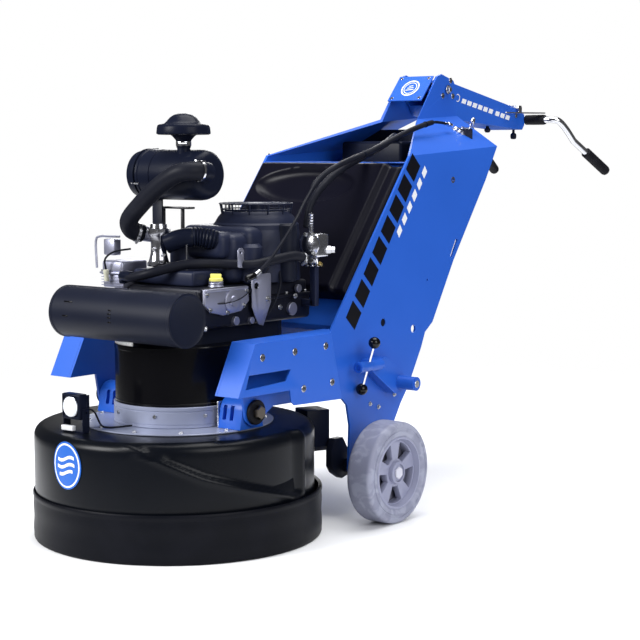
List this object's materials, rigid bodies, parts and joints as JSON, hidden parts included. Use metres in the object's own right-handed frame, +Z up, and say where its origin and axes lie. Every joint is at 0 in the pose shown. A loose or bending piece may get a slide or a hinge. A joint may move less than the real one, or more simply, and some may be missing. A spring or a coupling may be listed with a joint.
{
  "type": "planetary concrete floor grinder",
  "caption": "Walk-behind planetary concrete floor grinder with a gas engine on a round shrouded head, a tilting two-wheel frame with a fuel bottle, and a folding push handle.",
  "frame": {"origin": "on the floor under the middle of the machine's bounding box", "axes": "+Z up, -Y towards the grinding head (the front), +Y towards the handle, X across the machine with +X on the side of the transport clamp"},
  "size_m": [0.942, 2.6044, 1.405],
  "materials": {
    "blue_paint": "satin powder coat on folded sheet steel",
    "black_paint": "satin paint on steel",
    "black_plastic": "lightly textured moulding",
    "black_rubber": "matt",
    "aluminium": "cast and machined",
    "steel": "machined",
    "chrome": "polished",
    "white_deck": "pale satin",
    "grey_tyre": "solid non-marking rubber",
    "grey_hub": "moulded",
    "yellow_plastic": "moulded",
    "clear_lens": "clear",
    "cast_iron": "bare casting"
  },
  "bodies": {
    "head": {"shroud_cover": "black_plastic", "skirt_ring": "black_rubber", "deck_plate": "white_deck", "bearing_flange": "aluminium", "drum_housing": "black_paint", "belt_case": "black_paint", "drive_belt": "black_rubber", "dust_port": "black_plastic", "pivot_lug_near": "blue_paint", "pivot_lug_far": "blue_paint", "crankcase": "aluminium", "cylinder_front": "aluminium", "cylinder_rear": "aluminium", "blower_housing": "black_plastic", "muffler": "black_paint", "air_cleaner": "black_plastic", "intake_hose": "black_rubber", "rain_cap": "black_plastic", "gas_mixer": "chrome", "regulator": "aluminium", "vapor_hose": "black_rubber", "oil_filler_neck": "aluminium", "work_light_bracket": "black_paint"},
    "frame": {"side_panel_near": "blue_paint", "side_panel_far": "blue_paint", "arm_cover_near": "blue_paint", "arm_cover_far": "blue_paint", "cross_sheet": "blue_paint", "front_shield": "black_plastic", "neck_front_plate": "blue_paint", "gas_cylinder": "steel", "clamp_bracket": "blue_paint", "throttle_cable": "black_rubber", "wiring_loom": "black_rubber", "stub_axle_near": "black_paint", "stub_axle_far": "black_paint"},
    "rotor": {"rotor_plate": "cast_iron", "output_shaft": "steel"},
    "disc_a": {"grinding_head_a": "steel"},
    "disc_b": {"grinding_head_b": "steel"},
    "disc_c": {"grinding_head_c": "steel"},
    "crank": {"flywheel_screen": "black_plastic", "crank_pulley": "steel"},
    "work_light": {"work_light_housing": "black_plastic", "work_light_lens": "clear_lens"},
    "oil_cap": {"oil_cap": "yellow_plastic"},
    "bottle_valve": {"bottle_valve_knob": "black_plastic"},
    "wheel_near": {"wheel_hub_near": "grey_hub", "tyre_near": "grey_tyre"},
    "wheel_far": {"wheel_hub_far": "grey_hub", "tyre_far": "grey_tyre"},
    "clamp": {"clamp_bar": "chrome"},
    "throttle": {"throttle_lever": "steel"},
    "handle": {"handle_arm": "blue_paint", "handlebar": "chrome", "grip_near": "black_rubber", "grip_far": "black_rubber"},
    "hand_lever": {"hand_lever": "chrome"},
    "lock_knob": {"lock_knob": "black_plastic"}
  },
  "joints": [
    {"name": "frame_pivot", "type": "hinge", "parent": "head", "child": "frame", "pos_m": [0, -0.87023, 0.391], "axis": [1, 0, 0], "range_deg": [-8, 2], "deforming": ["throttle_cable", "wiring_loom"]},
    {"name": "rotor_spin", "type": "hinge", "parent": "head", "child": "rotor", "pos_m": [0, -0.87023, 0], "axis": [0, 0, 1], "continuous": true},
    {"name": "disc_a_spin", "type": "hinge", "parent": "rotor", "child": "disc_a", "pos_m": [0, -0.65523, 0], "axis": [0, 0, 1], "continuous": true},
    {"name": "disc_b_spin", "type": "hinge", "parent": "rotor", "child": "disc_b", "pos_m": [-0.1862, -0.97773, 0], "axis": [0, 0, 1], "continuous": true},
    {"name": "disc_c_spin", "type": "hinge", "parent": "rotor", "child": "disc_c", "pos_m": [0.1862, -0.97773, 0], "axis": [0, 0, 1], "continuous": true},
    {"name": "crank_spin", "type": "hinge", "parent": "head", "child": "crank", "pos_m": [0.075, -0.59523, 0.8], "axis": [0, 0, 1], "continuous": true},
    {"name": "work_light_tilt", "type": "hinge", "parent": "head", "child": "work_light", "pos_m": [-0.088, -1.20023, 0.395], "axis": [1, 0, 0], "range_deg": [-20, 20]},
    {"name": "oil_cap_lift", "type": "slide", "parent": "head", "child": "oil_cap", "axis": [0, 0, 1], "range_m": [0, 0.03]},
    {"name": "bottle_valve_turn", "type": "hinge", "parent": "frame", "child": "bottle_valve", "pos_m": [0, -0.00273, 0.94755], "axis": [0, 0.6136, 0.7896], "range_deg": [0, 340]},
    {"name": "wheel_near_spin", "type": "hinge", "parent": "frame", "child": "wheel_near", "pos_m": [0.441, -0.38673, 0.157], "axis": [1, 0, 0], "continuous": true},
    {"name": "wheel_far_spin", "type": "hinge", "parent": "frame", "child": "wheel_far", "pos_m": [-0.441, -0.38673, 0.157], "axis": [1, 0, 0], "continuous": true},
    {"name": "clamp_turn", "type": "hinge", "parent": "frame", "child": "clamp", "pos_m": [0.345, -0.38223, 0.476], "axis": [0, 1, 0], "range_deg": [-36, 0]},
    {"name": "throttle_turn", "type": "hinge", "parent": "frame", "child": "throttle", "pos_m": [0.19, 0.36477, 1.20093], "axis": [0.4235, -0.055, 0.9042], "range_deg": [-30, 30]},
    {"name": "handle_pivot", "type": "hinge", "parent": "frame", "child": "handle", "pos_m": [0, 0.43977, 1.352], "axis": [1, 0, 0], "range_deg": [-12, 12]},
    {"name": "hand_lever_pull", "type": "hinge", "parent": "handle", "child": "hand_lever", "pos_m": [0.03, 0.92977, 1.303], "axis": [0, 0, 1], "range_deg": [0, 12], "stiffness_Nm_per_rad": 0.4, "springref_deg": -5.73},
    {"name": "lock_knob_pull", "type": "slide", "parent": "handle", "child": "lock_knob", "axis": [0, 0, -1], "range_m": [0, 0.01], "stiffness_N_per_m": 200, "springref_m": -0.002}
  ],
  "couplings": [
    {"joint": "disc_a_spin", "follows": "rotor_spin", "ratio": -3},
    {"joint": "disc_b_spin", "follows": "rotor_spin", "ratio": -3},
    {"joint": "disc_c_spin", "follows": "rotor_spin", "ratio": -3},
    {"joint": "crank_spin", "follows": "rotor_spin", "ratio": 2}
  ]
}
